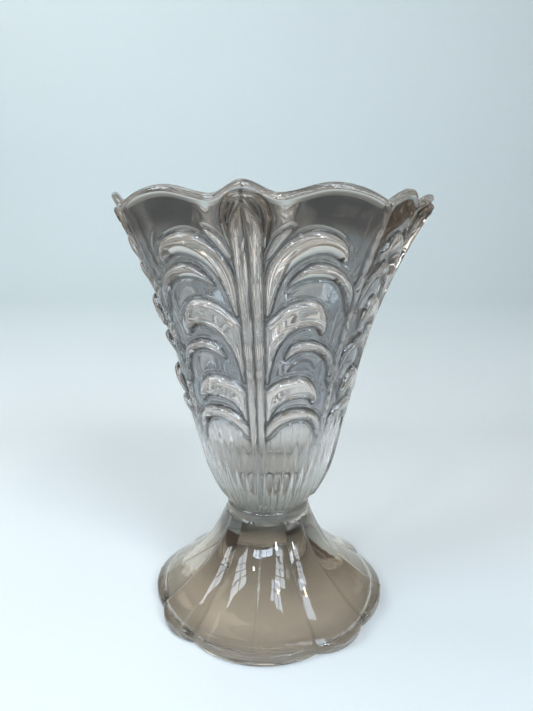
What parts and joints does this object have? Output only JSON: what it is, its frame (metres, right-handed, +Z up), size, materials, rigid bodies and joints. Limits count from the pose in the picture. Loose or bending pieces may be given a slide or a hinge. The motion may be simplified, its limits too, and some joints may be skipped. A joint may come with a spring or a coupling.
{
  "type": "vase",
  "caption": "Footed clear pressed-glass vase: flared bowl with palm-frond relief and waved rim, joined by a wafer to a hollow lobed foot; holds cut flowers.",
  "frame": {"origin": "centre of the foot's flat resting ring, on the vase's axis", "axes": "+Z up along the vase's axis; the middle of one of the four alike faces points along -Y"},
  "size_m": [0.1514, 0.1514, 0.2],
  "materials": {
    "clear_glass": "clear fire-polished pressed glass with a faint warm tint"
  },
  "bodies": {
    "root": {"bowl": "clear_glass", "wafer": "clear_glass", "foot": "clear_glass"}
  },
  "joints": []
}
